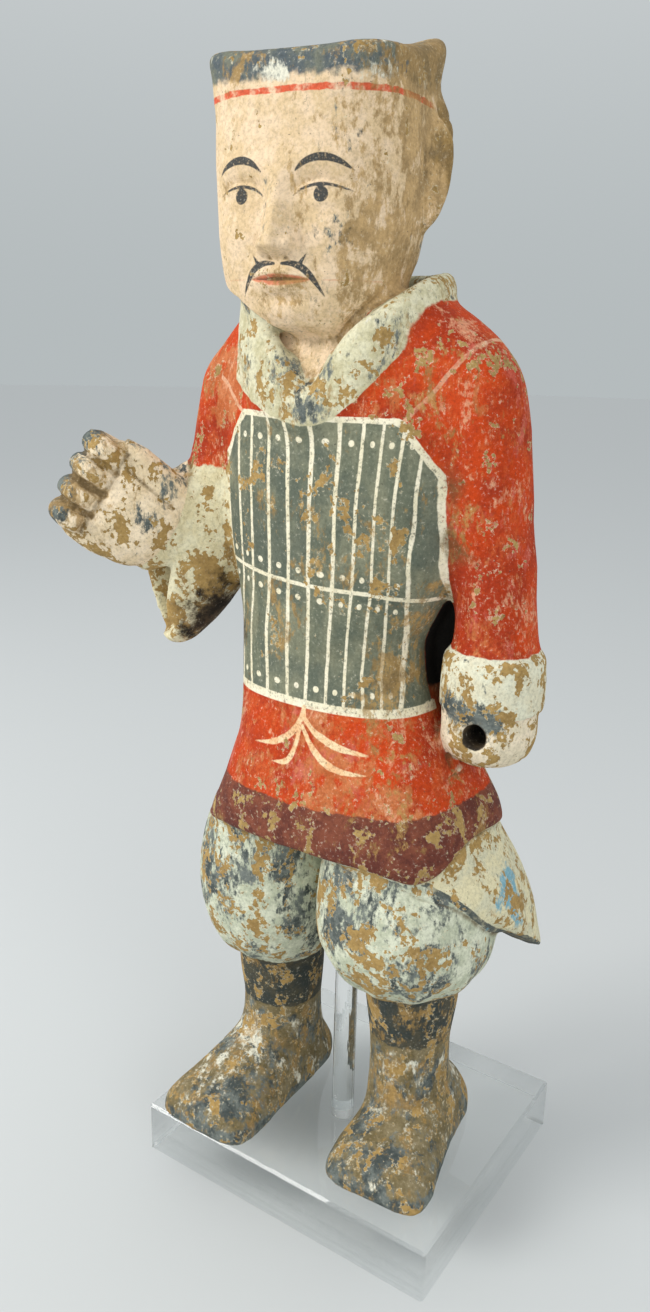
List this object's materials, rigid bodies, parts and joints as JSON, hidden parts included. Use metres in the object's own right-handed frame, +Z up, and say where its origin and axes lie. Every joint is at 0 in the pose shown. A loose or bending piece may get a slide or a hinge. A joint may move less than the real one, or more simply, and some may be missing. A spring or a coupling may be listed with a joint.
{
  "type": "painted terracotta soldier statue on a clear display stand",
  "caption": "Standing foot soldier of painted terracotta, right hand raised, left fist bored for a shaft, on a clear slab with a rod up into its underside.",
  "frame": {"origin": "middle of the clear slab's underside", "axes": "+Z up; the soldier faces -Y, and +X is its own left"},
  "size_m": [0.2094, 0.1458, 0.5071],
  "materials": {
    "painted_terracotta": "matt fired clay with worn paint",
    "clear_acrylic": "clear and polished"
  },
  "bodies": {
    "root": {"warrior": "painted_terracotta", "display_slab": "clear_acrylic", "support_rod": "clear_acrylic"}
  },
  "joints": []
}
